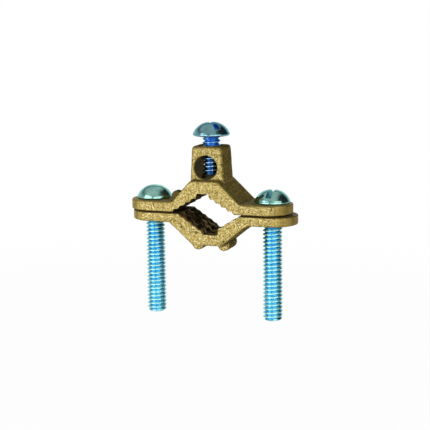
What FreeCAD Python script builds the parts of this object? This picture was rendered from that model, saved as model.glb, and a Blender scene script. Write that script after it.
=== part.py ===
import FreeCAD, Part
import operator
import os
import Sketcher

# Earthing pipe clamp: two cast bronze jaws with toothed grips, drawn together by two
# clamp screws, and a wire screw that presses a conductor into the boss on the upper jaw.
# Origin: the centre of the pipe, in the gap between the ears.
# X runs from ear to ear, Y along the pipe (the front is -Y), Z up. Lengths in millimetres.

sizes = {
    # Both jaws
    "jaw_depth": 15.2,
    "screw_spacing": 40.2,
    "screw_shift": -0.25,
    "ear_gap": 0.4,
    "rim_chamfer": 0.3,
    "foot_round": 1.0,
    "screw_hole_clearance": 0.3,
    "thread_clearance": 0.05,
    # Upper jaw: ears and the arch over the grip
    "upper_ear_thickness": 3.2,
    "upper_left_margin": 7.45,
    "upper_right_margin": 6.55,
    "arch_foot_left": 11.5,
    "arch_foot_right": 11.6,
    "arch_top_left": 5.15,
    "arch_top_right": 4.2,
    "arch_height": 10.2,
    "shoulder_round": 0.9,
    # Upper jaw: the stepped teeth of the grip
    "upper_grip_shift": -0.85,
    "upper_grip_half_width": 10.3,
    "crown_half_width": 1.8,
    "crown_height": 6.2,
    "crown_step": 1.56,
    "upper_riser_run": 0.6,
    "upper_tread_rise": 0.16,
    # Upper jaw: the boss that holds the wire
    "boss_shift": -0.4,
    "boss_side_wall": 1.25,
    "boss_thread_wall": 1.45,
    "boss_roof": 3.0,
    "boss_foot_spread": 0.75,
    "boss_edge_round": 0.9,
    "boss_top_bevel": 0.6,
    "wire_hole_diameter": 7.7,
    "wire_hole_lift": 0.1,
    "wire_hole_shift": -0.8,
    "wire_thread_floor": 0.1,
    # Upper jaw: the short casting lug on the left slope
    "slope_lug_radius": 1.84,
    "slope_lug_length": 2.5,
    "slope_lug_forward": 3.7,
    "slope_lug_run": 0.8,
    "slope_lug_rise": 1.5,
    # Lower jaw: ears and the trough under the grip
    "lower_ear_thickness": 3.0,
    "lower_left_margin": 6.9,
    "lower_right_margin": 8.15,
    "lower_foot_left": 12.5,
    "lower_foot_right": 13.8,
    "lower_corner_left": 4.5,
    "lower_corner_right": 5.1,
    "floor_thickness": 3.5,
    # Lower jaw: the teeth of the grip
    "left_first_tip": 9.4,
    "left_last_tip": 1.7,
    "left_last_tip_depth": 5.2,
    "right_first_tip": 11.0,
    "right_last_tip": 4.4,
    "right_last_tip_depth": 4.1,
    "lower_riser_run": 0.87,
    "lower_tread_drop": 0.37,
    "floor_left": 0.8,
    "floor_right": 3.9,
    "floor_depth": 6.45,
    # Lower jaw: the two round lugs along the bottom corners
    "corner_lug_radius": 2.05,
    "corner_lug_length": 7.4,
    "corner_lug_inset": 0.4,
    "corner_lug_drop": 0.15,
    # Clamp screws
    "clamp_thread_diameter": 6.3,
    "clamp_screw_length": 37.7,
    "clamp_head_diameter": 11.4,
    "clamp_head_height": 4.2,
    # Wire screw
    "wire_thread_diameter": 6.3,
    "wire_screw_length": 12.5,
    "wire_head_diameter": 11.85,
    "wire_head_height": 4.3,
    "wire_screw_lift": 3.0,
    "wire_screw_shift": -0.4,
    # Heads, slots and tips of all three screws; turns are degrees from the X axis
    "head_rim_height": 0.45,
    "slot_width": 1.7,
    "slot_depth": 2.1,
    "tip_chamfer": 0.6,
    "left_slot_turn": 20.0,
    "right_slot_turn": 96.5,
    "wire_slot_turn": 135.0,
}

upperToothCount = 4
lowerLeftToothCount = 4
lowerRightToothCount = 3
trimMargin = 4.0
tolerance = 0.01
leastSkinTilt = 0.3

doc = FreeCAD.newDocument("PipeClamp")
sheet = doc.addObject("Spreadsheet::Sheet", "Sizes")
for row, (alias, value) in enumerate(sizes.items(), start=1):
    sheet.set(f"A{row}", alias)
    sheet.set(f"B{row}", str(value))
    sheet.setAlias(f"B{row}", alias)
doc.recompute()

symbols = {"+": operator.add, "-": operator.sub, "*": operator.mul, "/": operator.truediv}


class Length:
    # A number together with the formula over the sheet that gives it.
    def __init__(self, number, formula):
        self.number = number
        self.formula = formula

    def join(self, other, symbol):
        if not isinstance(other, Length):
            other = Length(other, str(other))
        number = symbols[symbol](self.number, other.number)
        return Length(number, f"({self.formula} {symbol} {other.formula})")

    def __add__(self, other):
        return self.join(other, "+")

    def __sub__(self, other):
        return self.join(other, "-")

    def __mul__(self, other):
        return self.join(other, "*")

    def __truediv__(self, other):
        return self.join(other, "/")

    def __neg__(self):
        return Length(-self.number, f"(-{self.formula})")


def size(alias):
    return Length(sizes[alias], f"Sizes.{alias}")


zero = Length(0.0, "0")
sideY = size("jaw_depth") / 2
leftScrewX = size("screw_shift") - size("screw_spacing") / 2
rightScrewX = size("screw_shift") + size("screw_spacing") / 2


def newBody(label, x=None, z=None, turn=None):
    body = doc.addObject("PartDesign::Body", label)
    body.Label = label
    if turn is not None:
        body.Placement.Rotation = FreeCAD.Rotation(FreeCAD.Vector(0, 0, 1), turn.number)
        body.setExpression("Placement.Rotation.Angle", turn.formula)
    if x is not None:
        body.setExpression("Placement.Base.x", x.formula)
    if z is not None:
        body.setExpression("Placement.Base.z", z.formula)
    return body


def newSketch(body, name, role, lift=None):
    # A sketch on one of the body's own origin planes, or lifted off it along its normal.
    sketch = body.newObject("Sketcher::SketchObject", name)
    plane = next(item for item in body.Origin.OriginFeatures if item.Role == role)
    sketch.AttachmentSupport = (plane, [""])
    sketch.MapMode = "FlatFace"
    if lift is not None:
        sketch.AttachmentOffset.Base = FreeCAD.Vector(0, 0, lift.number)
        sketch.setExpression("AttachmentOffset.Base.z", lift.formula)
    return sketch


def drive(sketch, constraint, length):
    index = sketch.addConstraint(constraint)
    sketch.setExpression(f"Constraints[{index}]", length.formula)


def pin(sketch, geometry, point, x, y):
    # Holds one point of the sketch at x, y from the sketch's origin.
    for kind, length in (("DistanceX", x), ("DistanceY", y)):
        drive(sketch, Sketcher.Constraint(kind, -1, 1, geometry, point, length.number), length)


def spot(point):
    return FreeCAD.Vector(point[0].number, point[1].number, 0)


def addLine(sketch, start, end):
    return sketch.addGeometry(Part.LineSegment(spot(start), spot(end)), False)


def addArc(sketch, start, end, centre):
    # Counter-clockwise from start to end.
    ring = Part.Circle(centre, FreeCAD.Vector(0, 0, 1), (spot(start) - centre).Length)
    arc = Part.ArcOfCircle(ring, ring.parameter(spot(start)), ring.parameter(spot(end)))
    return sketch.addGeometry(arc, False)


def addCircle(sketch, x, y, diameter):
    ring = Part.Circle(spot((x, y)), FreeCAD.Vector(0, 0, 1), diameter.number / 2)
    index = sketch.addGeometry(ring, False)
    pin(sketch, index, 3, x, y)
    drive(sketch, Sketcher.Constraint("Diameter", index, diameter.number), diameter)


def joinEnds(sketch, edges):
    # Closes the loop that the edges make, end to start.
    for edge, after in zip(edges, edges[1:] + edges[:1]):
        sketch.addConstraint(Sketcher.Constraint("Coincident", edge, 2, after, 1))


def addOutline(sketch, corners):
    # A closed outline of straight edges through the corners.
    ends = corners[1:] + corners[:1]
    edges = [addLine(sketch, start, end) for start, end in zip(corners, ends)]
    joinEnds(sketch, edges)
    for edge, corner in zip(edges, corners):
        pin(sketch, edge, 1, *corner)


def pad(body, sketch, name, length):
    # Material to both sides of the sketch.
    feature = body.newObject("PartDesign::Pad", name)
    feature.Profile = sketch
    feature.SideType = "Symmetric"
    feature.Length = length.number
    feature.setExpression("Length", length.formula)
    doc.recompute()
    return feature


def pocket(body, sketch, name, depth=None):
    # A cut against the sketch's normal to a depth, or right through to both sides.
    before = body.Tip.Shape.Volume
    feature = body.newObject("PartDesign::Pocket", name)
    feature.Profile = sketch
    if depth is None:
        feature.SideType = "Symmetric"
        feature.Type = "ThroughAll"
    else:
        feature.Length = depth.number
        feature.setExpression("Length", depth.formula)
    doc.recompute()
    if feature.Shape.Volume >= before:
        raise ValueError(f"{name} cuts nothing")
    return feature


def dressEdges(body, name, kind, extent, wanted):
    # Rounds (kind Fillet) or bevels (kind Chamfer) the edges that wanted() picks.
    base = body.Tip
    numbered = enumerate(base.Shape.Edges, start=1)
    feature = body.newObject("PartDesign::" + kind, name)
    feature.Base = (base, [f"Edge{index}" for index, edge in numbered if wanted(edge)])
    extentOf = {"Fillet": "Radius", "Chamfer": "Size"}[kind]
    setattr(feature, extentOf, extent.number)
    feature.setExpression(extentOf, extent.formula)
    doc.recompute()
    return feature


def near(value, target):
    return abs(value - target) < tolerance


def runsAlongY(edge):
    ends = [corner.Point for corner in edge.Vertexes]
    return len(ends) == 2 and near(ends[0].x, ends[1].x) and near(ends[0].z, ends[1].z)


def ridge(edge, places):
    # Whether the edge runs front to back through one of the places on the profile.
    middle = edge.CenterOfMass
    return runsAlongY(edge) and any(
        near(middle.x, x.number) and near(middle.z, z.number) for x, z in places)


def bevelRim(body, name, outward):
    # Breaks the rim of the casting where its outer skin meets the sides and the ear ends.
    rim = set()
    for face in body.Tip.Shape.Faces:
        low, high, start, end = face.ParameterRange
        normal = face.normalAt((low + high) / 2, (start + end) / 2)
        if normal.z * outward > leastSkinTilt:
            rim.update(edge.hashCode() for edge in face.Edges if not runsAlongY(edge))
    return dressEdges(body, name, "Chamfer", size("rim_chamfer"),
                      lambda edge: edge.hashCode() in rim)


def trimEars(body, name, leftEnd, rightEnd):
    # Cuts the plan of the jaw: straight sides, and a half round at the end of each ear.
    leftX = leftEnd + sideY
    rightX = rightEnd - sideY
    sketch = newSketch(body, name + "_plan", "XY_Plane")
    addOutline(sketch, [
        (leftEnd - trimMargin, -sideY - trimMargin),
        (rightEnd + trimMargin, -sideY - trimMargin),
        (rightEnd + trimMargin, sideY + trimMargin),
        (leftEnd - trimMargin, sideY + trimMargin),
    ])
    frontLeft, frontRight = (leftX, -sideY), (rightX, -sideY)
    backLeft, backRight = (leftX, sideY), (rightX, sideY)
    front = addLine(sketch, frontLeft, frontRight)
    right = addArc(sketch, frontRight, backRight, spot((rightX, zero)))
    back = addLine(sketch, backRight, backLeft)
    left = addArc(sketch, backLeft, frontLeft, spot((leftX, zero)))
    joinEnds(sketch, [front, right, back, left])
    pin(sketch, front, 1, *frontLeft)
    pin(sketch, front, 2, *frontRight)
    pin(sketch, back, 1, *backRight)
    pin(sketch, back, 2, *backLeft)
    for edge, x in ((right, rightX), (left, leftX)):
        drive(sketch, Sketcher.Constraint("DistanceX", -1, 1, edge, 3, x.number), x)
    return pocket(body, sketch, name)


def drillEars(body, name, diameter):
    sketch = newSketch(body, name + "_centres", "XY_Plane")
    for x in (leftScrewX, rightScrewX):
        addCircle(sketch, x, zero, diameter)
    return pocket(body, sketch, name)


def upperTeeth():
    # Half of the upper grip from the ear up to the crown, as offsets from its middle:
    # steep risers and nearly level treads.
    riser = size("upper_riser_run")
    reach = size("upper_grip_half_width") - size("crown_half_width") - riser
    run = reach / upperToothCount
    rise = (size("crown_height") - size("crown_step")) / upperToothCount
    points = []
    for tooth in range(upperToothCount):
        tipX = size("upper_grip_half_width") - run * tooth
        tipZ = rise * tooth
        points.append((tipX, tipZ))
        points.append((tipX - riser, tipZ + rise - size("upper_tread_rise")))
    points.append((size("crown_half_width") + riser, rise * upperToothCount))
    points.append((size("crown_half_width"), size("crown_height")))
    return points


def addBoss(body):
    # The block over the arch, its sides drafted for the mould. The wire passes through it
    # from front to back and the wire screw comes down from its top.
    holeZ = size("arch_height") + size("wire_hole_lift") + size("wire_hole_diameter") / 2
    topZ = holeZ + size("wire_hole_diameter") / 2 + size("boss_roof")
    footZ = (size("arch_height") + size("crown_height")) / 2
    topX = size("wire_hole_diameter") / 2 + size("boss_side_wall")
    footX = topX + size("boss_foot_spread")
    middle = size("boss_shift")
    block = newSketch(body, "boss_profile", "XZ_Plane")
    addOutline(block, [(middle - footX, footZ), (middle + footX, footZ),
                       (middle + topX, topZ), (middle - topX, topZ)])
    pad(body, block, "boss_block", size("wire_thread_diameter") + size("boss_thread_wall") * 2)

    def endsAtTop(edge):
        return [near(corner.Point.z, topZ.number) for corner in edge.Vertexes]

    dressEdges(body, "boss_uprights", "Fillet", size("boss_edge_round"),
               lambda edge: any(endsAtTop(edge)) and not all(endsAtTop(edge)))
    dressEdges(body, "boss_top", "Chamfer", size("boss_top_bevel"),
               lambda edge: all(endsAtTop(edge)))
    hole = newSketch(body, "wire_hole_centre", "XZ_Plane")
    addCircle(hole, size("wire_hole_shift"), holeZ, size("wire_hole_diameter"))
    pocket(body, hole, "wire_hole")
    thread = newSketch(body, "wire_thread_centre", "XY_Plane", topZ)
    addCircle(thread, size("wire_screw_shift"), zero,
              size("wire_thread_diameter") + size("thread_clearance") * 2)
    # Tapped down through the wire hole, so the screw can close on the thinnest wire.
    pocket(body, thread, "wire_thread",
           size("boss_roof") + size("wire_hole_diameter") - size("wire_thread_floor"))


def upperJaw():
    body = newBody("upper_jaw", z=size("ear_gap") / 2)
    earTop = size("upper_ear_thickness")
    leftEnd = leftScrewX - size("upper_left_margin")
    rightEnd = rightScrewX + size("upper_right_margin")
    middle = size("upper_grip_shift")
    teeth = upperTeeth()
    feet = [(-size("arch_foot_left"), earTop), (size("arch_foot_right"), earTop)]
    shoulders = [(-size("arch_top_left"), size("arch_height")),
                 (size("arch_top_right"), size("arch_height"))]
    corners = [(leftEnd, zero)]
    corners += [(middle - x, z) for x, z in teeth]
    corners += [(middle + x, z) for x, z in reversed(teeth)]
    corners += [(rightEnd, zero), (rightEnd, earTop), feet[1], shoulders[1]]
    corners += [shoulders[0], feet[0], (leftEnd, earTop)]
    profile = newSketch(body, "upper_profile", "XZ_Plane")
    addOutline(profile, corners)
    pad(body, profile, "upper_casting", size("jaw_depth"))
    trimEars(body, "upper_ears", leftEnd, rightEnd)
    dressEdges(body, "arch_feet", "Fillet", size("foot_round"),
               lambda edge: ridge(edge, feet))
    dressEdges(body, "arch_shoulders", "Fillet", size("shoulder_round"),
               lambda edge: ridge(edge, shoulders))
    bevelRim(body, "upper_rim", 1)
    lug = newSketch(body, "slope_lug_profile", "XZ_Plane", size("slope_lug_forward"))
    addCircle(lug, size("slope_lug_run") - size("arch_foot_left"),
              earTop + size("slope_lug_rise"), size("slope_lug_radius") * 2)
    pad(body, lug, "slope_lug", size("slope_lug_length"))
    addBoss(body)
    drillEars(body, "upper_screw_holes",
              size("clamp_thread_diameter") + size("screw_hole_clearance") * 2)
    return body


def lowerTeeth(side, count):
    # One side of the lower grip from the ear down to the floor, as distances from the
    # middle of the clamp: steep risers and gently falling treads.
    first = size(side + "_first_tip")
    run = (first - size(side + "_last_tip")) / count
    drop = size(side + "_last_tip_depth") / count
    points = [(first, zero)]
    for tooth in range(count):
        tipX = first - run * tooth
        tipZ = -drop * tooth
        valleyZ = tipZ - drop + size("lower_tread_drop")
        points.append((tipX - size("lower_riser_run"), valleyZ))
        points.append((tipX - run, tipZ - drop))
    points.append((size("floor_" + side), -size("floor_depth")))
    return points


def lowerJaw():
    body = newBody("lower_jaw", z=-size("ear_gap") / 2)
    earBottom = -size("lower_ear_thickness")
    bottom = -size("floor_depth") - size("floor_thickness")
    leftEnd = leftScrewX - size("lower_left_margin")
    rightEnd = rightScrewX + size("lower_right_margin")
    feet = [(-size("lower_foot_left"), earBottom), (size("lower_foot_right"), earBottom)]
    corners = [(leftEnd, zero)]
    corners += [(-x, z) for x, z in lowerTeeth("left", lowerLeftToothCount)]
    corners += reversed(lowerTeeth("right", lowerRightToothCount))
    corners += [(rightEnd, zero), (rightEnd, earBottom), feet[1]]
    corners += [(size("lower_corner_right"), bottom), (-size("lower_corner_left"), bottom)]
    corners += [feet[0], (leftEnd, earBottom)]
    profile = newSketch(body, "lower_profile", "XZ_Plane")
    addOutline(profile, corners)
    pad(body, profile, "lower_casting", size("jaw_depth"))
    trimEars(body, "lower_ears", leftEnd, rightEnd)
    dressEdges(body, "lower_feet", "Fillet", size("foot_round"),
               lambda edge: ridge(edge, feet))
    bevelRim(body, "lower_rim", -1)
    lugs = newSketch(body, "corner_lug_profile", "XZ_Plane")
    for x in (size("corner_lug_inset") - size("lower_corner_left"),
              size("lower_corner_right") - size("corner_lug_inset")):
        addCircle(lugs, x, bottom - size("corner_lug_drop"), size("corner_lug_radius") * 2)
    pad(body, lugs, "corner_lugs", size("corner_lug_length"))
    drillEars(body, "lower_screw_threads",
              size("clamp_thread_diameter") + size("thread_clearance") * 2)
    return body


def slottedScrew(label, kind, x, z, turn):
    # A round-head screw that stands on the underside of its head. The thread is drawn as a
    # plain shank of the major diameter.
    body = newBody(label, x, z, turn)
    length = size(kind + "_screw_length")
    height = size(kind + "_head_height")
    rimX = size(kind + "_head_diameter") / 2
    shankX = size(kind + "_thread_diameter") / 2
    top = (zero, height)
    rim = (rimX, size("head_rim_height"))
    corners = [
        rim,
        (rimX, zero),
        (shankX, zero),
        (shankX, size("tip_chamfer") - length),
        (shankX - size("tip_chamfer"), -length),
        (zero, -length),
    ]
    rise = height.number - rim[1].number
    domeRadius = (rimX.number ** 2 + rise ** 2) / (2 * rise)
    domeCentre = spot(top) - FreeCAD.Vector(0, domeRadius, 0)
    profile = newSketch(body, label + "_profile", "XZ_Plane")
    ends = corners[1:] + [top]
    edges = [addLine(profile, start, end) for start, end in zip(corners, ends)]
    dome = addArc(profile, rim, top, domeCentre)
    for edge, after in zip(edges, edges[1:]):
        profile.addConstraint(Sketcher.Constraint("Coincident", edge, 2, after, 1))
    profile.addConstraint(Sketcher.Constraint("Coincident", edges[-1], 2, dome, 2))
    profile.addConstraint(Sketcher.Constraint("Coincident", edges[0], 1, dome, 1))
    profile.addConstraint(Sketcher.Constraint("PointOnObject", dome, 3, -2))
    for edge, corner in zip(edges, corners):
        pin(profile, edge, 1, *corner)
    pin(profile, dome, 2, *top)
    turned = body.newObject("PartDesign::Revolution", label + "_turned")
    turned.Profile = profile
    turned.ReferenceAxis = (profile, ["V_Axis"])
    turned.Angle = 360.0
    doc.recompute()
    slot = newSketch(body, label + "_slot_plan", "XY_Plane", height)
    slotY = size("slot_width") / 2
    addOutline(slot, [(-rimX, -slotY), (rimX, -slotY), (rimX, slotY), (-rimX, slotY)])
    pocket(body, slot, label + "_slot", size("slot_depth"))
    return body


earFace = size("ear_gap") / 2 + size("upper_ear_thickness")
bossFace = (size("ear_gap") / 2 + size("arch_height") + size("wire_hole_lift")
            + size("wire_hole_diameter") + size("boss_roof"))
pieces = [
    upperJaw(),
    lowerJaw(),
    slottedScrew("left_clamp_screw", "clamp", leftScrewX, earFace, size("left_slot_turn")),
    slottedScrew("right_clamp_screw", "clamp", rightScrewX, earFace, size("right_slot_turn")),
    slottedScrew("wire_screw", "wire", size("wire_screw_shift"),
                 bossFace + size("wire_screw_lift"), size("wire_slot_turn")),
]
doc.recompute()

for item in doc.Objects:
    if "Invalid" in item.State or "Error" in item.State:
        raise RuntimeError(f"{item.Label} failed: {item.State}")
for piece in pieces:
    if piece.Shape.isNull() or not piece.Shape.isValid():
        raise RuntimeError(f"{piece.Label} has no valid solid")

os.makedirs("parts", exist_ok=True)
for piece in pieces:
    piece.Shape.exportStep(f"parts/{piece.Label}.step")
    print(piece.Label, round(piece.Shape.Volume), "mm3")
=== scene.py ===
import bmesh
import bpy
import math
import numpy as np
from mathutils import Matrix, Vector, noise


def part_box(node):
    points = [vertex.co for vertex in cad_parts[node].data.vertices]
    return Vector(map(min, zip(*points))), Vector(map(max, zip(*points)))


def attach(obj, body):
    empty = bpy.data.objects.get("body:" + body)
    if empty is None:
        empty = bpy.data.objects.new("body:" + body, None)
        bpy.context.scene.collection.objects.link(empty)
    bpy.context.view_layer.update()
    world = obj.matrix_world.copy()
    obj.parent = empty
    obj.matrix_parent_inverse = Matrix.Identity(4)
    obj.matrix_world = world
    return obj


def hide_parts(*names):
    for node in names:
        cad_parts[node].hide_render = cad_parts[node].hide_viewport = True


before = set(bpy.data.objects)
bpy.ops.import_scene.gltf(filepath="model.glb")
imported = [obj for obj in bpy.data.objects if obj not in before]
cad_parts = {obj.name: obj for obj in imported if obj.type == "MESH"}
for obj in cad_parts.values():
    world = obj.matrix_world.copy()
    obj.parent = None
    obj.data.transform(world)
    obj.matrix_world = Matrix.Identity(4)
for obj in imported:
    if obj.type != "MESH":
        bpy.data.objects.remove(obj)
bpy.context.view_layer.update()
scene = bpy.context.scene
mm = 0.001  # lengths below are in millimetres and angles in degrees
print("frame loaded:", ", ".join(sorted(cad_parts)))


# ---- shader helpers

class Socket:
    # a node's output that takes plain arithmetic; each operation adds its Math node
    def __init__(self, shade, link):
        self.shade = shade
        self.link = link

    def math(self, operation, *values):
        sockets = dict(enumerate(values))
        return self.shade.add("ShaderNodeMath", {"operation": operation}, sockets)

    def __add__(self, other):
        return self.math("ADD", self, other)

    def __sub__(self, other):
        return self.math("SUBTRACT", self, other)

    def __rsub__(self, other):
        return self.math("SUBTRACT", other, self)

    def __mul__(self, other):
        return self.math("MULTIPLY", self, other)

    def __abs__(self):
        return self.math("ABSOLUTE", self)


class Shade:
    def __init__(self, tree):
        tree.nodes.clear()
        self.tree = tree

    def add(self, kind, settings=None, sockets=None, output=0):
        # a node of this kind: settings first, then the values or links of its sockets
        node = self.tree.nodes.new(kind)
        for name, value in (settings or {}).items():
            if name == "stops":
                self.setStops(node.color_ramp, value)
            else:
                setattr(node, name, value)
        for name, value in (sockets or {}).items():
            socket = node.inputs[name]
            if isinstance(value, Socket):
                self.tree.links.new(value.link, socket)
            elif socket.type == "RGBA" and len(value) == 3:
                socket.default_value = (*value, 1)
            else:
                socket.default_value = value
        if node.outputs:
            return Socket(self, node.outputs[output])

    def setStops(self, ramp, stops):
        while len(ramp.elements) < len(stops):
            ramp.elements.new(1)
        for element, (position, colour) in zip(ramp.elements, stops):
            element.position = position
            element.color = (*colour, 1)

    def place(self):
        # the point on the piece, in millimetres
        point = self.add("ShaderNodeTexCoord", output="Object")
        return self.add("ShaderNodeVectorMath", {"operation": "SCALE"},
                        {0: point, "Scale": 1 / mm})

    def written(self, name):
        # a value written on the mesh's points
        return self.add("ShaderNodeAttribute", {"attribute_name": name}, {}, "Fac")

    def ray(self, kind):
        return self.add("ShaderNodeLightPath", output="Is " + kind + " Ray")

    def stretched(self, point, factors):
        return self.add("ShaderNodeVectorMath", {"operation": "MULTIPLY"},
                        {0: point, 1: factors})

    def axes(self, point):
        return [self.add("ShaderNodeSeparateXYZ", {}, {0: point}, axis) for axis in range(3)]

    def distance(self, point, centre=(0, 0, 0)):
        return self.add("ShaderNodeVectorMath", {"operation": "DISTANCE"},
                        {0: point, 1: centre}, "Value")

    def noise(self, point, scale, detail, rough):
        return self.add("ShaderNodeTexNoise", {"noise_dimensions": "3D"},
                        {"Vector": point, "Scale": scale, "Detail": detail,
                         "Roughness": rough})

    def cells(self, point, scale):
        # a random shade for each small cell
        return self.add("ShaderNodeTexVoronoi", {}, {"Vector": point, "Scale": scale}, "Color")

    def ramp(self, value, stops):
        return self.add("ShaderNodeValToRGB", {"stops": stops}, {0: value})

    def rise(self, value, low, high, start=0.0, end=1.0):
        return self.add("ShaderNodeMapRange", {"interpolation_type": "SMOOTHSTEP"},
                        {"Value": value, "From Min": low, "From Max": high,
                         "To Min": start, "To Max": end})

    def fall(self, value, low, high):
        return self.rise(value, low, high, 1.0, 0.0)

    def mix(self, factor, first, second, blend="MIX"):
        # inputs 6 and 7 and output 2 are this node's colours
        return self.add("ShaderNodeMix", {"data_type": "RGBA", "blend_type": blend},
                        {0: factor, 6: first, 7: second}, 2)

    def bump(self, height):
        return self.add("ShaderNodeBump", {},
                        {"Height": height, "Strength": 1.0, "Distance": mm})


def newMaterial(name):
    material = bpy.data.materials.new(name)
    material.use_nodes = True
    return material, Shade(material.node_tree)


def finishMaterial(shade, surface):
    shade.add("ShaderNodeOutputMaterial", {}, {"Surface": surface})


# ---- materials

bronzeLook = {
    # the cast skin's colours, from its hollows to the peaks that catch the light
    "stops": [(0.28, (0.10, 0.070, 0.020)), (0.42, (0.27, 0.195, 0.052)),
              (0.56, (0.465, 0.368, 0.119)), (0.70, (0.74, 0.635, 0.335))],
    # each noise: bumps per mm, detail, roughness
    "cloud": (0.16, 3.0, 0.55),
    "mottle": (0.75, 3.0, 0.6),
    "grain": (2.2, 3.0, 0.65),
    "fine": (4.8, 2.0, 0.6),
    "speckScale": 3.5,               # specks of sand per mm
    "toneShares": (0.05, 0.10, 0.48, 0.24, 0.13),  # cloud, mottle, specks, grain and fine
    "belt": (1.7, 2.0, 0.5),         # upright grinding marks on the ear ends
    "beltStretch": (1, 1, 0.06),
    "beltMarks": (0.42, 0.58),
    "groundFrom": (21.6, 23.2),      # distance from the middle where the ends turn smooth
    "groundRagged": 1.6,
    "groundDark": (0.33, 0.245, 0.07),
    "groundTint": (0.50, 0.385, 0.125),
    "groundShare": 0.75,
    "faceFrom": (0.80, 0.96),        # how far forward a face looks when it is no side wall
    "sidesGround": 0.2,              # ground ends lose this share of the sides' painted shade
    "boreFlat": (1, 0, 1),
    "boreCentre": (-0.8, 0, 14.35),
    "boreReach": (3.95, 4.15),
    "topFrom": (0.80, 0.95),         # how far up a face looks on top of an ear, which painted light makes lighter
    "topUpTo": (4.5, 5.5),
    "edge": (0.04, 0.12),            # relief of the outer edges, which get a painted shade
    "ridge": (0.03, 0.12),           # of the ridges of the teeth, with wear and a painted highlight
    "hollow": (-0.11, -0.015),       # and of the hollows, which get a painted shade
    "wearAndGlintSplit": (-0.5, 0.5),        # between the jaws; the upper jaw's walls face down into shade and get less of this painted highlight
    "wearAndGlintShares": (1.0, 0.3),
    "streak": (0.8, 2.0, 0.6),       # streaks down the toothed walls: wear with a painted highlight
    "streakStretch": (0.4, 1, 0.4),
    "streakFrom": (0.49, 0.66),
    "streakFront": (-7.3, -5.0),     # more of them near the front, a painted highlight where the light reaches in
    "streakMore": (0.16, 0.0),
    "bossFrom": (9.0, 12.5),
    "rimFrom": (19.3, 20.0),
    "rimUpward": (0.1, 0.5),
    "seam": (0.30, 0.55),            # how far the painted shade in the joint between the jaws reaches up and down
    "lugShadowAt": (-10.9, -4.6, 5.3),
    "lugShadowReach": (2.5, 2.9),
    # coats of colour over the skin, most of them painted shade or painted highlight, in order:
    # share, tint, how it is laid on
    "coats": {
        "side": (1.0, (0.60, 0.56, 0.42), "MULTIPLY"),      # painted shade: side walls darker than front and back
        "bore": (0.8, (0.25, 0.185, 0.08), "MIX"),          # painted shade inside the conductor's hole
        # painted light on the ear tops
        "earTop": (0.7, (0.45, 0.36, 0.16), "MIX"),
        # painted shade on the outer edges
        "edge": (0.75, (0.19, 0.138, 0.028), "MIX"),
        "grip": (1.0, (0.075, 0.062, 0.043), "MULTIPLY"),   # painted shade on the toothed walls inside the jaws
        # ridges of the teeth: wear with a painted highlight
        "ridge": (0.9, (0.62, 0.485, 0.17), "MIX"),
        # streaks on the toothed walls: wear with a painted highlight
        "worn": (0.75, (0.42, 0.28, 0.045), "MIX"),
        "boss": (1.0, (0.85, 0.85, 0.82), "MULTIPLY"),      # a little darker than the jaw
        "rim": (0.6, (0.10, 0.070, 0.020), "MIX"),          # and a painted shade on its top
        # painted shade in the hollows
        "hollow": (0.9, (0.10, 0.070, 0.020), "MIX"),
        # painted shade in the joint between the jaws
        "seam": (0.8, (0.10, 0.070, 0.020), "MIX"),
        "dusky": (0.9, (0.05, 0.038, 0.014), "MIX"),        # painted shadow on a lug
    },
    "rough": (0.70, 0.50),           # in the hollows and on the peaks
    "roughFrom": (0.38, 0.62),
    "groundRough": 0.38,
    "metallic": 0.05,
    "groundMetallic": 0.60,
    "wornMetallic": 0.75,
    "shine": 0.0,                    # specular level of the dull cast skin
    # heights of the bumps, and the share of them that is ground off the ear ends
    "grainHeight": 0.09,
    "grainOff": 0.85,
    "fineHeight": 0.03,
    "fineOff": 0.6,
    "beltHeight": 0.035,
}


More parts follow.
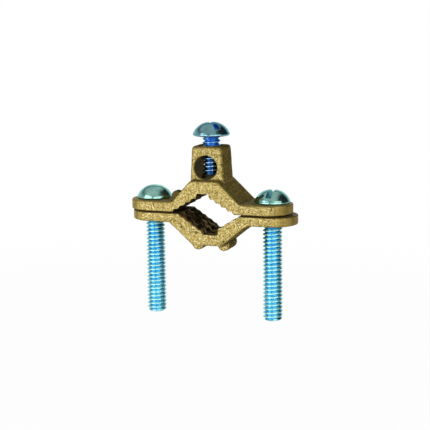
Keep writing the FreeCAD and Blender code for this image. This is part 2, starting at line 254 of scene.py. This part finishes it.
def castBronze():
    look = bronzeLook
    material, shade = newMaterial("castBronze")
    point = shade.place()
    across, depth, up = shade.axes(point)
    facing, upward = shade.axes(shade.add("ShaderNodeTexCoord", output="Normal"))[1:]
    relief, grip = shade.written("relief"), shade.written("grip")
    cloud, mottle, grain, fine = [
        shade.noise(point, *look[name]) for name in ("cloud", "mottle", "grain", "fine")]
    speck = shade.cells(point, look["speckScale"])
    shares = zip((cloud, mottle, speck, grain, fine), look["toneShares"])
    first, *others = [layer * share for layer, share in shares]
    tone = sum(others, first)

    # where each coat goes; most coats are painted shade or painted highlight
    masks = {}
    ground = shade.rise(abs(across) + (mottle - 0.5) * look["groundRagged"],
                        *look["groundFrom"])
    side = shade.fall(abs(facing), *look["faceFrom"])
    masks["side"] = side * (1 - ground * look["sidesGround"])
    bore = shade.distance(shade.stretched(point, look["boreFlat"]), look["boreCentre"])
    masks["bore"] = shade.fall(bore, *look["boreReach"]) * side
    masks["earTop"] = shade.rise(upward, *look["topFrom"]) * shade.fall(up, *look["topUpTo"])
    masks["edge"] = shade.rise(relief, *look["edge"]) * (1 - ground) * (1 - grip)
    masks["grip"] = side * grip
    # the lower jaw's walls get more wear and painted highlight than the upper's, which face
    # down into shade
    wearAndGlintWalls = masks["grip"] * shade.rise(up, *look["wearAndGlintSplit"], *look["wearAndGlintShares"])
    ridge = shade.rise(relief, *look["ridge"]) * wearAndGlintWalls
    masks["ridge"] = ridge
    streak = shade.noise(shade.stretched(point, look["streakStretch"]), *look["streak"])
    streak = streak + shade.rise(depth, *look["streakFront"], *look["streakMore"])
    worn = shade.rise(streak, *look["streakFrom"]) * (1 - ridge) * wearAndGlintWalls
    masks["worn"] = worn
    masks["boss"] = shade.rise(up, *look["bossFrom"])
    masks["rim"] = shade.rise(up, *look["rimFrom"]) * shade.rise(upward, *look["rimUpward"])
    masks["hollow"] = shade.fall(relief, *look["hollow"])
    masks["seam"] = shade.fall(abs(up), *look["seam"])
    masks["dusky"] = shade.fall(shade.distance(point, look["lugShadowAt"]), *look["lugShadowReach"])

    belt = shade.noise(shade.stretched(point, look["beltStretch"]), *look["belt"])
    marks = shade.rise(belt, *look["beltMarks"])
    polished = shade.mix(marks, look["groundDark"], look["groundTint"])
    colour = shade.ramp(tone, look["stops"])
    colour = shade.mix(ground * look["groundShare"], colour, polished)
    for name, (share, tint, blend) in look["coats"].items():
        colour = shade.mix(masks[name] * share, colour, tint, blend)

    rough = shade.rise(tone, *look["roughFrom"], *look["rough"])
    rough = rough + ground * (look["groundRough"] - look["rough"][1])
    metallic = ground * (look["groundMetallic"] - look["metallic"]) + look["metallic"]
    metallic = metallic + (ridge + worn) * look["wornMetallic"]
    height = grain * (1 - ground * look["grainOff"]) * look["grainHeight"]
    height = height + fine * (1 - ground * look["fineOff"]) * look["fineHeight"]
    height = height + belt * ground * look["beltHeight"]
    surface = shade.add("ShaderNodeBsdfPrincipled", {}, {
        "Base Color": colour, "Roughness": rough, "Metallic": metallic,
        "Normal": shade.bump(height), "Specular IOR Level": look["shine"]})
    finishMaterial(shade, surface)
    return material


clampLook = {
    "headFrom": (1.95, 2.1),      # heights over the middle of the dome's ball
    "headBlue": (0.27, 0.52, 0.49),
    "headPale": (0.36, 0.66, 0.56),
    # the slot's darker colour: painted shade in its recess
    "slot": (0.07, 0.18, 0.19),
    "slotUnder": (-0.5, -0.12),   # the slot's darker colour, a painted shade, starts this far under the dome
    "crest": (2.52, 3.08),        # distances from the axis where the blue turns pale: a painted highlight on the crests and a painted shade in the roots
    "crestRagged": 0.15,
    "threadRoot": (0.04, 0.33, 0.66),
    "lowRoot": (0.09, 0.42, 0.67),
    "lowRootFrom": (-30, -6),        # the roots' colour changes between these heights: paler lower down the clamp screws, and on the wire screw darker inside the hole, a painted shade
    "threadCrest": (0.56, 0.95, 0.92),
    "rough": (0.13, 0.22),
    "roughFrom": (0.3, 0.7),
    "threadRougher": 0.11,
    "edgeTint": (0.55, 0.84, 0.88),
    # each noise: bumps per mm, detail, roughness; each ripple's height comes first
    "cloud": (0.5, 3.0, 0.6),
    "cloudFrom": (0.35, 0.65),
    "streak": (1.4, 3.0, 0.6),
    "streakStretch": (1, 1, 0.25),
    "ripple": (0.02, (0.9, 2.0, 0.5)),
    "fineRipple": (0.002, (5.0, 2.0, 0.6)),
}
wireLook = dict(
    clampLook,
    headBlue=(0.17, 0.35, 0.40),
    headPale=(0.25, 0.46, 0.50),
    # the slot's deeper blue: partly the plating's colour and partly painted shade
    slot=(0.03, 0.12, 0.42),
    crest=(2.65, 2.95),
    threadRoot=(0.06, 0.24, 0.60),
    # darker roots inside the hole: painted shade
    lowRoot=(0.03, 0.11, 0.31),
    lowRootFrom=(17.5, 19.5),
    threadCrest=(0.44, 0.72, 0.90),
    threadRougher=0.06,
)


def blueZinc(name, look, axis, ballCentre, ballRadius):
    # bright zinc plating: greenish on the head and blue down the thread, with painted
    # highlights on the crests and painted shade in the roots and the slot
    material, shade = newMaterial(name)
    point = shade.place()
    height = shade.axes(point)[2]
    onHead = shade.rise(height - ballCentre.z, *look["headFrom"])
    cloud = shade.rise(shade.noise(point, *look["cloud"]), *look["cloudFrom"])
    radius = shade.distance(shade.stretched(point, (1, 1, 0)), (axis, 0, 0))
    # pale crests and blue roots: painted highlight and painted shade
    crest = shade.rise(radius + cloud * look["crestRagged"], *look["crest"])
    # the roots' colour by height; on the wire screw darker inside the hole, a painted shade
    pale = shade.rise(height, *look["lowRootFrom"])
    root = shade.mix(pale, look["lowRoot"], look["threadRoot"])
    thread = shade.mix(crest, root, look["threadCrest"])
    head = shade.mix(cloud, look["headBlue"], look["headPale"])
    # the slot's darker colour: painted shade, on the wire screw also the plating's deeper blue
    under = shade.distance(point, ballCentre) - ballRadius
    head = shade.mix(shade.fall(under, *look["slotUnder"]), head, look["slot"])
    streak = shade.noise(shade.stretched(point, look["streakStretch"]), *look["streak"])
    rough = shade.rise(streak, *look["roughFrom"], *look["rough"])
    rough = rough + (1 - onHead) * look["threadRougher"]
    ripple, fineRipple = [shade.noise(point, *waves) * size
                          for size, waves in (look["ripple"], look["fineRipple"])]
    surface = shade.add("ShaderNodeBsdfPrincipled", {}, {
        "Base Color": shade.mix(onHead, thread, head), "Roughness": rough,
        "Metallic": 1.0, "Normal": shade.bump(ripple + fineRipple),
        "Specular Tint": look["edgeTint"]})
    finishMaterial(shade, surface)
    return material


# ---- castings

castForm = {
    "voxel": 0.19,
    "relaxStep": 0.5,
    "soften": 2,             # rounds of smoothing that take the edge off the corners
    "reliefRounds": 20,      # the skin's relief is measured against this much smoothing
    "topSoften": 20,         # and this much rounds the boss's top edges
    "topFade": 0.8,
    "topHole": (3.6, 0.6),   # but not next to the wire screw's hole: reach, fade
    # height, bumps per mm and octaves of the uneven skin
    "wave": (0.05, 0.30, 2),
    "grain": (0.035, 1.3, 3),
    "fractal": (0.8, 2.0),
    "seedShift": (7.3, 3.1, 5.7),
    "earHole": 3.75,         # the screw holes stay true this close to a screw's axis
    "wireHole": 3.3,
    "holeFade": 0.4,
    "endFrom": 22.5,         # the ground ear ends stay smooth
    "endFade": 1.2,
    "endCalm": 0.8,
    "gripSlope": 0.667,      # the toothed walls lean by this much
    "gripReach": 8.9,        # and the teeth stay crisp within this much of the middle
    "gripFade": 0.5,
    "gripSharpen": -0.9,
    "gripDeepen": 0.5,
    "gripCalm": 0.6,
    "jointReach": 1.2,       # the edges along the joint between the ears stay square
    "jointFade": 0.4,
    "jointRoom": 0.02,       # and their faces stay clear of each other when the jaws close
    "frontFrom": -6.9,       # pits are on the front only
    "pitFall": 1.6,
}
upperJaw = {
    "seed": 1,
    "roundTop": 19.4,        # the boss's top edges are rounder above this height
    "pits": [],
}
lowerJaw = {
    "seed": 5,
    "pits": [  # x, z, radius, depth of each pit or bump
        (-8.07, -4.46, 0.5, 0.30), (-3.1, -5.97, 0.42, 0.30), (2.78, -5.81, 0.5, -0.22),
        (6.1, -8.51, 0.5, 0.38), (-11.6, -2.5, 0.3, 0.22), (-9.4, -5.9, 0.26, 0.2)],
}


def screwAxis(node):
    low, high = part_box(node)
    return (low.x + high.x) / 2 / mm


def meshArray(collection, name, width):
    values = np.empty(len(collection) * width, np.float32)
    collection.foreach_get(name, values)
    return values.reshape(-1, width).astype(float)


def setPoints(mesh, points):
    # moves the mesh's points there and gives the new normals
    mesh.vertices.foreach_set("co", (points * mm).astype(np.float32).ravel())
    mesh.update()
    return meshArray(mesh.vertex_normals, "vector", 3)


def writeValues(mesh, name, values):
    # one number for each point of the mesh, for its material to read
    attribute = mesh.attributes.new(name, "FLOAT", "POINT")
    attribute.data.foreach_set("value", values.astype(np.float32))


def faded(distance, width):
    return np.clip(distance / width, 0, 1)


def relax(points, edges, rounds, weight):
    # moves each point part of the way to the middle of its neighbours, times its weight
    ends = np.concatenate([edges, edges[:, ::-1]])
    count = np.bincount(ends[:, 0], minlength=len(points))[:, None]
    stride = weight[:, None] * castForm["relaxStep"]
    for turn in range(rounds):
        total = np.stack([np.bincount(ends[:, 0], points[ends[:, 1], axis], len(points))
                          for axis in range(3)], axis=1)
        points = points + (total / count - points) * stride
    return points


def skinHeights(points, height, density, octaves, seed):
    shift = Vector([seed * step for step in castForm["seedShift"]])
    return height * np.array([
        noise.fractal(Vector(point) * density + shift, *castForm["fractal"], octaves)
        for point in points])


def remeshed(name, node):
    # the CAD casting as an even mesh of small faces
    piece = bpy.data.objects.new(name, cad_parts[node].data.copy())
    scene.collection.objects.link(piece)
    voxels = piece.modifiers.new("voxels", "REMESH")
    voxels.mode = "VOXEL"
    voxels.voxel_size = castForm["voxel"] * mm
    drawn = piece.evaluated_get(bpy.context.evaluated_depsgraph_get())
    mesh = bpy.data.meshes.new_from_object(drawn)
    piece.modifiers.clear()
    piece.data = mesh
    edges = np.empty(len(mesh.edges) * 2, np.int32)
    mesh.edges.foreach_get("vertices", edges)
    return piece, mesh, meshArray(mesh.vertices, "co", 3) / mm, edges.reshape(-1, 2)


def castPiece(name, node, settings):
    # the casting with softened corners, crisp teeth and a sand-cast skin
    form = castForm
    piece, mesh, points, edges = remeshed(name, node)
    lean = np.abs(points[:, 0]) * form["gripSlope"] + np.abs(points[:, 2])
    toothed = faded(form["gripReach"] - lean, form["gripFade"])
    joint = faded(form["jointReach"] - np.abs(points[:, 2]), form["jointFade"])
    weight = (1 - toothed * (1 - form["gripSharpen"])) * (1 - joint)
    points = relax(points, edges, form["soften"], weight)
    normals = setPoints(mesh, points)
    level = relax(points, edges, form["reliefRounds"], np.ones(len(points)))
    relief = ((points - level) * normals).sum(axis=1)
    holes = [(leftAxis, form["earHole"]), (rightAxis, form["earHole"])]
    if "roundTop" in settings:
        reach, fade = form["topHole"]
        high = faded(points[:, 2] - settings["roundTop"], form["topFade"])
        high *= faded(np.hypot(points[:, 0] - wireAxis, points[:, 1]) - reach, fade)
        points = relax(points, edges, form["topSoften"], high)
        holes.append((wireAxis, form["wireHole"]))
    normals = setPoints(mesh, points)
    dents = np.zeros(len(points))
    for x, z, radius, depth in settings["pits"]:
        near = np.hypot(points[:, 0] - x, points[:, 2] - z) / radius
        dent = depth * np.exp(-near ** 2 * form["pitFall"])
        dents += np.where(points[:, 1] < form["frontFrom"], dent, 0)
    relief -= dents
    writeValues(mesh, "relief", relief)
    writeValues(mesh, "grip", toothed)
    push = skinHeights(points, *form["wave"], settings["seed"])
    push += skinHeights(points, *form["grain"], settings["seed"] + 1)
    push *= 1 - form["gripCalm"] * toothed
    push += relief * toothed * (1 - np.abs(normals[:, 1])) ** 2 * form["gripDeepen"]
    for x, reach in holes:
        away = np.hypot(points[:, 0] - x, points[:, 1])
        push *= faded(away - reach, form["holeFade"])
    push -= dents
    ends = faded(np.abs(points[:, 0]) - form["endFrom"], form["endFade"])
    push *= 1 - form["endCalm"] * ends
    push -= joint * (np.maximum(push, 0) + form["jointRoom"])
    setPoints(mesh, points + normals * push[:, None])
    mesh.materials.clear()
    mesh.materials.append(bronze)
    mesh.shade_smooth()
    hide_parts(node)
    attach(piece, node)
    print(name, len(mesh.polygons), "faces")


bronze = castBronze()
leftAxis, rightAxis, wireAxis = [
    screwAxis(node) for node in ("left_clamp_screw", "right_clamp_screw", "wire_screw")]
castPiece("upper_jaw_casting", "upper_jaw", upperJaw)
castPiece("lower_jaw_casting", "lower_jaw", lowerJaw)


# ---- screws

screwForm = {
    "pitch": 1.27,
    "threadDepth": 0.76,
    "columns": 96,
    # one turn of the thread: share of the pitch, share of the depth
    "profile": [(0, 1), (0.0625, 0.95), (0.24, 0.475), (0.417, 0.0), (0.5, -0.02),
                (0.583, 0.0), (0.76, 0.475), (0.9375, 0.95)],
    "spareTurns": 2,         # drawn past each end of the shank and flattened onto it
    "neckUnder": 0.3,        # the plain neck is this much slimmer than the thread
    "neckLength": 0.35,
    "neckFade": 0.5,
    "tipChamfer": 0.6,
    "crownFlat": 0.6,        # the dome's arc is centred this far from the axis
    "rimHeight": 0.50,
    "rimInset": 0.12,        # the dome's grid ends this far inside the rim
    "rimShoulder": (0.035, 0.10),
    "rimDrop": 0.03,
    "undercut": 0.45,        # the rim rolls in by this much underneath
    "rimCurve": [(0.1, 0.75), (0.45, 0.35), (1, 0)],  # shares of it: inwards, upwards
    "slotWidth": 1.7,
    "slotDepth": 2.1,
    "slotEdge": 0.13,
    "floorMargin": 0.06,
    "wallShares": (0.03, 0.5),
    "edgeTurns": (0, 30, 60, 90),
    "acrossRows": 22,
    "innerColumns": 20,      # from the head's middle to the slot's mouth
    "outerColumns": 6,       # and from there to the rim
    "doubled": 1e-5,         # points this close are joined
    "sharpAngle": 62,
}


def addFaces(bm, rows):
    # a face in each cell between neighbouring rows of points
    for low, high in zip(rows, rows[1:]):
        for corners in zip(low, low[1:], high[1:], high):
            bm.faces.new(corners)


def arcRadius(reach, rise):
    # of the arc that rises this much over this reach
    return (reach ** 2 + rise ** 2) / (2 * rise)


def threadRadii(z, turn, outer):
    # how far the thread's surface stands from the axis at height z and angle turn
    form = screwForm
    shares, depths = zip(*form["profile"], (1, 1))
    phase = (z / form["pitch"] - turn / math.tau) % 1
    fall = 1 - np.interp(phase, shares, depths)
    return outer - form["threadDepth"] * fall


def addShank(bm, length, outer, start):
    # the threaded shank, sheared so that its rows follow the helix
    form = screwForm
    pitch, profile = form["pitch"], form["profile"]
    turns = np.linspace(0, math.tau, form["columns"] + 1)
    base = -length - form["spareTurns"] * pitch
    grid = []
    for whole in range(int(length / pitch + 2 * form["spareTurns"])):
        for share, depth in profile:
            z = base + pitch * (whole + share) + pitch * turns / math.tau
            z = np.clip(z, -length, 0)
            radius = threadRadii(z - base, turns, outer)
            neck = faded(z + form["neckLength"] + form["neckFade"], form["neckFade"])
            radius = radius + (outer - form["neckUnder"] - radius) * neck
            radius = np.minimum(radius, outer - form["tipChamfer"] + z + length)
            grid.append([bm.verts.new((r * math.cos(t + start), r * math.sin(t + start), h))
                         for r, t, h in zip(radius, turns, z)])
    addFaces(bm, grid)


def slotRows(gridRadius):
    # rows across the slot: distance from its middle, kind, share of the wall or the edge
    form = screwForm
    half = form["slotWidth"] / 2
    rows = [(y, "floor", 0) for y in (0, half / 2, half - form["floorMargin"])]
    rows += [(half, "wall", share) for share in form["wallShares"]]
    for turn in map(math.radians, form["edgeTurns"]):
        rows.append((half + form["slotEdge"] * (1 - math.cos(turn)), "edge",
                     1 - math.sin(turn)))
    first = math.asin((half + form["slotEdge"]) / gridRadius)
    for turn in np.linspace(first, math.pi / 2, form["acrossRows"] + 1)[1:]:
        rows.append((gridRadius * math.sin(turn), "dome", 0))
    return [(-y, kind, share) for y, kind, share in reversed(rows[1:])] + rows


def addHead(bm, diameter, height):
    # a domed head with a slot right across it, drawn in rows along the slot
    form = screwForm
    rimRadius = diameter / 2
    gridRadius = rimRadius - form["rimInset"]
    flat = form["crownFlat"]
    ball = arcRadius(rimRadius - flat, height - form["rimHeight"])

    def dome(x, y):
        out = np.maximum(np.hypot(x, y) - flat, 0)
        return height - ball + np.sqrt(ball ** 2 - out ** 2)

    floor = height - form["slotDepth"]
    mouth = flat + math.sqrt(ball ** 2 - (floor - height + ball) ** 2)
    inner, outer = form["innerColumns"], form["outerColumns"]
    grid = []
    for y, kind, share in slotRows(gridRadius):
        # columns gather towards the slot's mouth, where its floor meets the dome
        chord = math.sqrt(max(gridRadius ** 2 - y ** 2, 0))
        level = min(abs(y), form["slotWidth"] / 2)
        kink = math.sqrt((mouth ** 2 - level ** 2) / (gridRadius ** 2 - level ** 2))
        places = np.sin(np.linspace(0, 1, inner + 1) * math.pi / 2) * kink
        places = np.append(places, np.linspace(kink, 1, outer + 1)[1:])
        places = np.append(-places[:0:-1], places) * chord
        top = dome(places, np.full_like(places, y))
        wall = np.maximum(top - floor, 0)
        drop = np.minimum(wall / 2, form["slotEdge"])
        if kind == "floor":
            z = np.minimum(top, floor)
        elif kind == "wall":
            z = np.where(wall > 0, floor + (wall - drop) * share, top)
        else:
            z = top - drop * share
        grid.append([bm.verts.new((x, y, h)) for x, h in zip(places, z)])
    addFaces(bm, grid)
    # the rolled rim and the underside hang from the grid's outer ends
    ring = [row[-1] for row in grid] + [row[0] for row in reversed(grid)]
    inwards, downwards = form["rimShoulder"]
    under = form["undercut"]
    profile = [(rimRadius - inwards, float(dome(gridRadius, 0)) - downwards),
               (rimRadius, form["rimHeight"] - form["rimDrop"])]
    profile += [(rimRadius - under * inside, under * up) for inside, up in form["rimCurve"]]
    rings = [ring]
    for radius, h in profile:
        below = []
        for x, y, z in [vertex.co for vertex in rings[-1]]:
            scale = radius / math.hypot(x, y)
            below.append(bm.verts.new((x * scale, y * scale, h)))
        rings.append(below)
    addFaces(bm, [ring + ring[:1] for ring in rings])


def closeScrew(bm, length):
    # joins doubled points, then fills the tip and the ring under the head
    bmesh.ops.remove_doubles(bm, verts=bm.verts, dist=screwForm["doubled"])
    openEdges = [edge for edge in bm.edges if edge.is_boundary]
    tip = [edge for edge in openEdges if edge.verts[0].co.z < -length / 2]
    under = [edge for edge in openEdges if edge.verts[0].co.z > -length / 2]
    bmesh.ops.contextual_create(bm, geom=tip)
    bmesh.ops.triangle_fill(bm, edges=under, use_beauty=True)
    bmesh.ops.recalc_face_normals(bm, faces=bm.faces)
    left = [edge for edge in bm.edges if not edge.is_manifold]
    print("screw edges left open:", len(left))


def screwPiece(name, node, settings):
    length, slotTurn = settings["length"], math.radians(settings["slotTurn"])
    diameter, height = settings["headDiameter"], settings["headHeight"]
    bm = bmesh.new()
    start = math.radians(settings["threadStart"] - settings["slotTurn"])
    addShank(bm, length, settings["threadRadius"], start)
    addHead(bm, diameter, height)
    closeScrew(bm, length)
    mesh = bpy.data.meshes.new(name)
    place = Vector((screwAxis(node), 0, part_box(node)[0].z / mm + length))
    turned = Matrix.Rotation(slotTurn, 4, "Z")
    bm.transform(Matrix.Translation(place * mm) @ turned @ Matrix.Scale(mm, 4))
    bm.to_mesh(mesh)
    bm.free()
    mesh.shade_smooth()
    mesh.set_sharp_from_angle(angle=math.radians(screwForm["sharpAngle"]))
    ball = arcRadius(diameter / 2, height - screwForm["rimHeight"])
    centre = place + Vector((0, 0, height - ball))
    mesh.materials.append(blueZinc(name + "_zinc", settings["look"], place.x, centre, ball))
    piece = bpy.data.objects.new(name, mesh)
    scene.collection.objects.link(piece)
    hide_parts(node)
    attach(piece, node)
    print(name, len(mesh.polygons), "faces")


leftScrew = {
    "length": 37.7,
    "threadRadius": 3.15,
    "threadStart": 210,
    "headDiameter": 11.4,
    "headHeight": 4.2,
    "slotTurn": 20,
    "look": clampLook,
}
rightScrew = dict(leftScrew, threadStart=268, slotTurn=91)
wireScrew = {
    "length": 12.5,
    "threadRadius": 2.97,
    "threadStart": 180,
    "headDiameter": 11.85,
    "headHeight": 4.3,
    "slotTurn": 135,
    "look": wireLook,
}
screwPiece("left_clamp_screw_threaded", "left_clamp_screw", leftScrew)
screwPiece("right_clamp_screw_threaded", "right_clamp_screw", rightScrew)
screwPiece("wire_screw_threaded", "wire_screw", wireScrew)


# ---- floor, lights and camera

studio = {
    "floorHeight": -42.5,
    "floorHalf": 2500,
    "floorColour": (0.8, 0.8, 0.8),
    "white": (1, 1, 1),
    "floorShade": (0.035, 0.0),       # share of plain shading near the clamp and far off
    "floorShadeReach": (50, 260),
    "floorInMetal": 0.78,             # how much of its white polished metal sees
    "aimHeight": 2,
    # azimuth from the front, elevation, distance, width, height, watts, seen by polished metal
    "lights": {
        "keyLight": (-13, 7, 400, 240, 160, 1.99, False),
        "leftLight": (-92, 10, 500, 260, 260, 0.20, False),
        "rightLight": (96, 22, 500, 260, 260, 0.56, False),
        "backLight": (180, 6, 400, 200, 160, 1.30, False),
        "leftWindow": (-30, 18, 500, 424, 420, 1.40, True),
        "rightWindow": (45, 18, 500, 660, 420, 1.85, True),
    },
    "fill": 0.006,                    # what the room gives to matt surfaces
    "facing": 20.5,                   # the sweep stands opposite this azimuth
    # what polished metal sees of the room
    "wall": 0.03,
    # brightness, then where along each of two directions it starts and stops
    "patches": {
        "ceiling": (0.62, ("up", 0.50, 0.80, 0, 1), ("across", 0.25, 0.60, 1, 0)),
        "sweep": (0.90, ("behind", 0.55, 0.85, 0, 1), ("up", 0.35, 0.65, 1, 0)),
        "leftWall": (0.60, ("across", -0.80, -0.40, 1, 0), ("up", 0.35, 0.65, 1, 0)),
        "frontWall": (0.20, ("behind", -0.80, -0.30, 1, 0), ("up", 0.35, 0.65, 1, 0)),
        "rightWall": (0.22, ("across", 0.40, 0.80, 0, 1), ("up", 0.05, 0.35, 1, 0)),
    },
}


def placeFloor():
    half = studio["floorHalf"] * mm
    height = studio["floorHeight"] * mm
    mesh = bpy.data.meshes.new("floor")
    corners = [(-half, -half, height), (half, -half, height), (half, half, height),
               (-half, half, height)]
    mesh.from_pydata(corners, [], [(0, 1, 2, 3)])
    material, shade = newMaterial("paleFloor")
    matt = shade.add("ShaderNodeBsdfDiffuse", {}, {"Color": studio["floorColour"]})
    glow = shade.add("ShaderNodeEmission", {}, {"Color": studio["white"], "Strength": 1.0})
    away = shade.distance(shade.place())
    shaded = shade.rise(away, *studio["floorShadeReach"], *studio["floorShade"])
    seen = (shade.ray("Camera") + shade.ray("Transmission")) * (1 - shaded)
    seen = seen + shade.ray("Glossy") * studio["floorInMetal"]
    surface = shade.add("ShaderNodeMixShader", {}, {0: seen, 1: matt, 2: glow})
    finishMaterial(shade, surface)
    mesh.materials.append(material)
    floor = bpy.data.objects.new("floor", mesh)
    scene.collection.objects.link(floor)


def fromAngles(azimuth, elevation, distance):
    # azimuth turns from the front towards the right ear
    turn, tilt = math.radians(azimuth), math.radians(elevation)
    return Vector((math.sin(turn) * math.cos(tilt), -math.cos(turn) * math.cos(tilt),
                   math.sin(tilt))) * distance * mm


def placeLight(name, azimuth, elevation, distance, width, height, power, polished):
    # lights seen by polished metal leave matt surfaces unlit, and the others metal
    lamp = bpy.data.lights.new(name, "AREA")
    lamp.shape = "RECTANGLE"
    lamp.size = width * mm
    lamp.size_y = height * mm
    lamp.energy = power
    light = bpy.data.objects.new(name, lamp)
    light.location = fromAngles(azimuth, elevation, distance)
    aim = Vector((0, 0, studio["aimHeight"] * mm)) - light.location
    light.rotation_euler = aim.to_track_quat("-Z", "Y").to_euler()
    light.visible_diffuse = not polished
    light.visible_glossy = polished
    scene.collection.objects.link(light)


def lightRoom():
    # white to the camera, a dim fill to matt surfaces, bright patches to polished metal
    world = bpy.data.worlds.new("room")
    world.use_nodes = True
    scene.world = world
    shade = Shade(world.node_tree)
    right, back, up = shade.axes(shade.add("ShaderNodeTexCoord", output="Generated"))
    turn = math.radians(studio["facing"])
    directions = {
        "across": right * math.cos(turn) + back * math.sin(turn),
        "behind": back * math.cos(turn) - right * math.sin(turn),
        "up": up,
    }
    polished = studio["wall"]
    for brightness, *bounds in studio["patches"].values():
        one, other = [shade.rise(directions[name], *band) for name, *band in bounds]
        polished = one * other * brightness + polished
    glossy = shade.ray("Glossy")
    shown = shade.ray("Camera") + shade.ray("Transmission")
    level = (1 - glossy) * studio["fill"] + polished * glossy
    level = level * (1 - shown) + shown
    surface = shade.add("ShaderNodeBackground", {},
                        {"Color": studio["white"], "Strength": level})
    shade.add("ShaderNodeOutputWorld", {}, {"Surface": surface})


viewpoint = {
    "place": (123.54, -329.69, 59.21),
    "target": (0, 0, 0.2),
    "roll": -0.687,
    "lens": 93.03,
    "sensor": 36,
    "shift": (0.00367, -0.01179),
    "nearest": 10,
}


def placeCamera():
    lens = bpy.data.cameras.new("camera")
    lens.sensor_width = viewpoint["sensor"]
    lens.sensor_fit = "HORIZONTAL"
    lens.lens = viewpoint["lens"]
    lens.shift_x, lens.shift_y = viewpoint["shift"]
    lens.clip_start = viewpoint["nearest"] * mm
    place = Vector(viewpoint["place"]) * mm
    ahead = (Vector(viewpoint["target"]) * mm - place).normalized()
    side = ahead.cross(Vector((0, 0, 1))).normalized()
    above = side.cross(ahead)
    roll = math.radians(viewpoint["roll"])
    right = side * math.cos(roll) + above * math.sin(roll)
    upward = above * math.cos(roll) - side * math.sin(roll)
    camera = bpy.data.objects.new("camera", lens)
    turned = Matrix((right, upward, -ahead)).transposed().to_4x4()
    camera.matrix_world = Matrix.Translation(place) @ turned
    scene.collection.objects.link(camera)
    scene.camera = camera


placeFloor()
for lamp, placing in studio["lights"].items():
    placeLight(lamp, *placing)
lightRoom()
placeCamera()
scene.view_settings.view_transform = "Standard"
print("floor, lights and camera placed")
